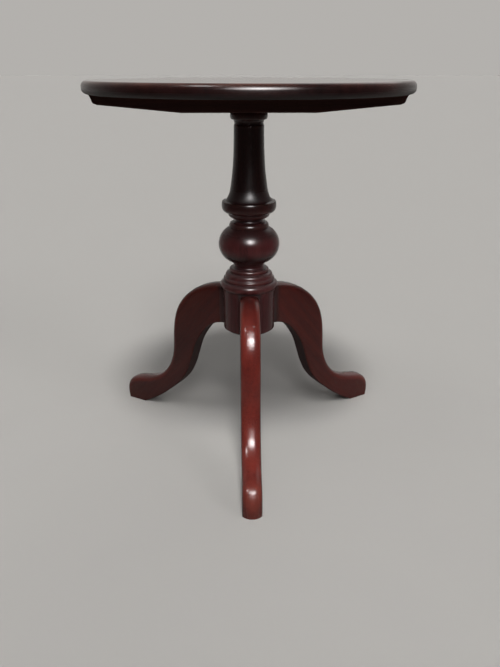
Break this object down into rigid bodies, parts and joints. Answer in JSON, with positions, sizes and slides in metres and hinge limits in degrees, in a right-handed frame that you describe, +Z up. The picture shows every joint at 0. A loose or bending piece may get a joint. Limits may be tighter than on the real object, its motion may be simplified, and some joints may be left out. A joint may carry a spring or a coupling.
{
  "type": "wine table",
  "caption": "Round-topped occasional table in polished mahogany: a board on a tapered bearer, a turned baluster column and splayed S-curved legs with slipper feet.",
  "frame": {"origin": "on the floor, straight below the axis of the column", "axes": "+Z up along the column, -Y along the front leg, +X to the right of someone who faces the front leg, along the bearer"},
  "size_m": [0.4799, 0.5053, 0.579],
  "materials": {
    "mahogany_top": "polished dark red-brown mahogany, straight grain",
    "mahogany_bearer": "thinly polished dark mahogany",
    "mahogany_turned": "polished dark red-brown mahogany, turned",
    "mahogany_leg": "polished red-brown mahogany, grain along the leg",
    "beech_wedge": "plain unpolished wedge",
    "screw_steel": "dull slotted steel screws",
    "plate_iron": "black iron plate"
  },
  "bodies": {
    "root": {"top": "mahogany_top", "bearer": "mahogany_bearer", "column": "mahogany_turned", "leg_front": "mahogany_leg", "leg_left": "mahogany_leg", "leg_right": "mahogany_leg", "tenon_wedge": "beech_wedge", "bearer_centre_screws": "screw_steel", "bearer_end_screws": "screw_steel", "base_plate": "plate_iron", "base_plate_screws": "screw_steel"}
  },
  "joints": []
}
